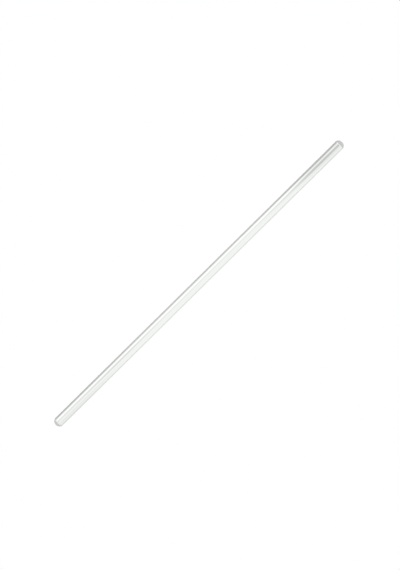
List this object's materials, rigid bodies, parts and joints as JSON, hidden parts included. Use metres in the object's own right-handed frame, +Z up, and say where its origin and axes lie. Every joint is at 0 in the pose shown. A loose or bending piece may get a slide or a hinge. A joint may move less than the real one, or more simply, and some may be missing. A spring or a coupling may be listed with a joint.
{
  "type": "glass stirring rod",
  "caption": "Straight, solid, round rod of clear glass, with its ends fire-polished to low domes, for stirring and guiding liquids by hand.",
  "frame": {"origin": "on the rod's axis, at the middle of its length", "axes": "+X along the rod, +Z up from the surface that the rod is laid on; the ends are alike and the section is round, so either way round is the same"},
  "size_m": [0.2, 0.005, 0.005],
  "materials": {
    "glass": "clear drawn glass, fire-polished ends"
  },
  "bodies": {
    "root": {"stirring_rod": "glass"}
  },
  "joints": []
}
